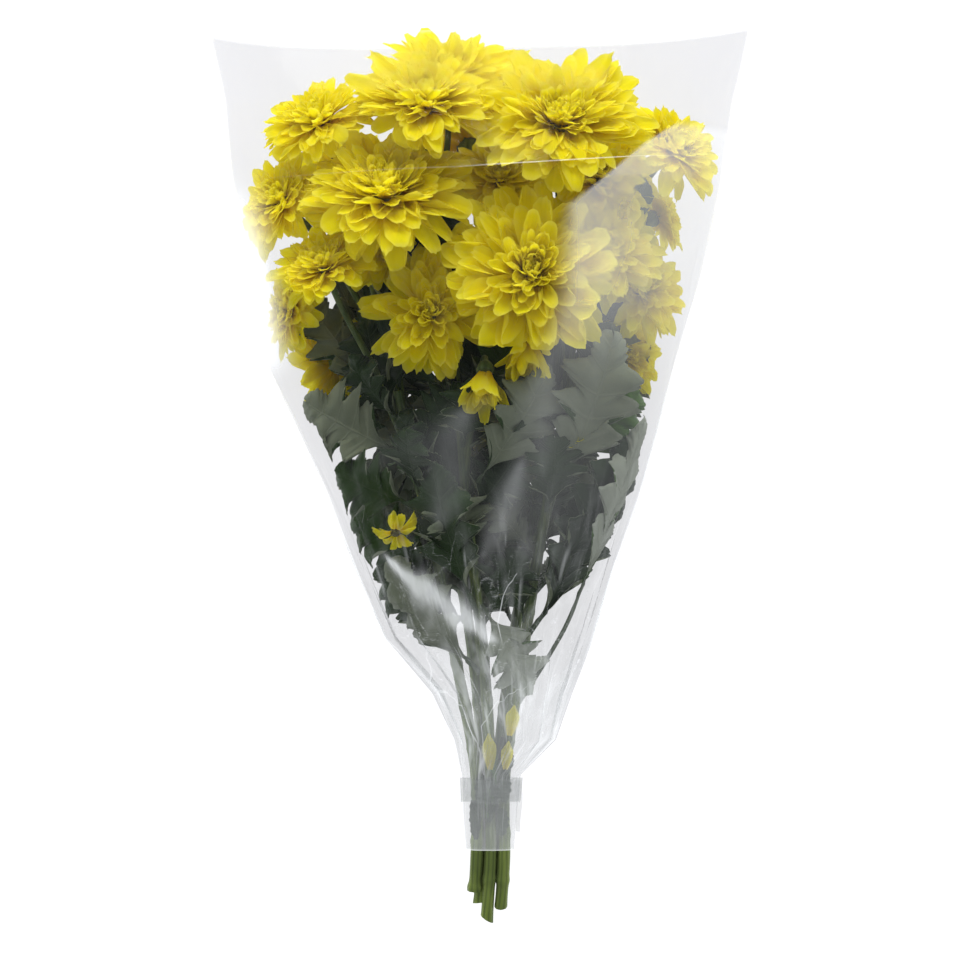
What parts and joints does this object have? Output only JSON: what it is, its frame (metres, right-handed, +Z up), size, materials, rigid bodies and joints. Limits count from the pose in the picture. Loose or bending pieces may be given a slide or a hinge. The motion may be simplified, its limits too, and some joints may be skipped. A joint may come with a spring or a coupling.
{
  "type": "bunch of yellow spray chrysanthemums in a clear film sleeve",
  "caption": "Cut bunch of yellow spray chrysanthemums on leafy stems, lying on its back in an open, tapered sleeve of clear film taped at the neck.",
  "frame": {"origin": "middle of the bunch's footprint, on the surface it lies on", "axes": "+Z up from the surface, +Y along the stems from their cut ends to the mouth of the sleeve, +X to the right when looking down with the mouth away from the viewer"},
  "size_m": [0.3, 0.506, 0.153],
  "materials": {
    "film": "clear glossy film",
    "tape": "clear tape",
    "greenery": "matt leaf",
    "petals": "soft petal"
  },
  "bodies": {
    "root": {"bloom_back_left": "petals", "bloom_back_low_left": "petals", "bloom_back_low_right": "petals", "bloom_back_middle": "petals", "bloom_back_right": "petals", "bloom_centre_large": "petals", "bloom_centre_left": "petals", "bloom_centre_low": "petals", "bloom_half_open": "petals", "bloom_left_edge": "petals", "bloom_left_large": "petals", "bloom_left_low": "petals", "bloom_left_middle": "petals", "bloom_left_outer": "petals", "bloom_left_top": "petals", "bloom_middle_inner": "petals", "bloom_right_edge": "petals", "bloom_right_inner": "petals", "bloom_right_low": "petals", "bloom_right_lowest": "petals", "bloom_right_middle": "petals", "bloom_right_outer": "petals", "bloom_right_top": "petals", "bloom_small_left": "petals", "bloom_top_back": "petals", "bloom_top_middle": "petals", "bud_hanging": "petals", "bud_right_low": "petals", "fallen_petal_left": "petals", "fallen_petal_middle": "petals", "fallen_petal_right": "petals", "film_sleeve": "film", "stem_back_left": "greenery", "stem_back_right": "greenery", "stem_left": "greenery", "stem_middle": "greenery", "stem_right": "greenery", "tape_band": "tape"}
  },
  "joints": []
}
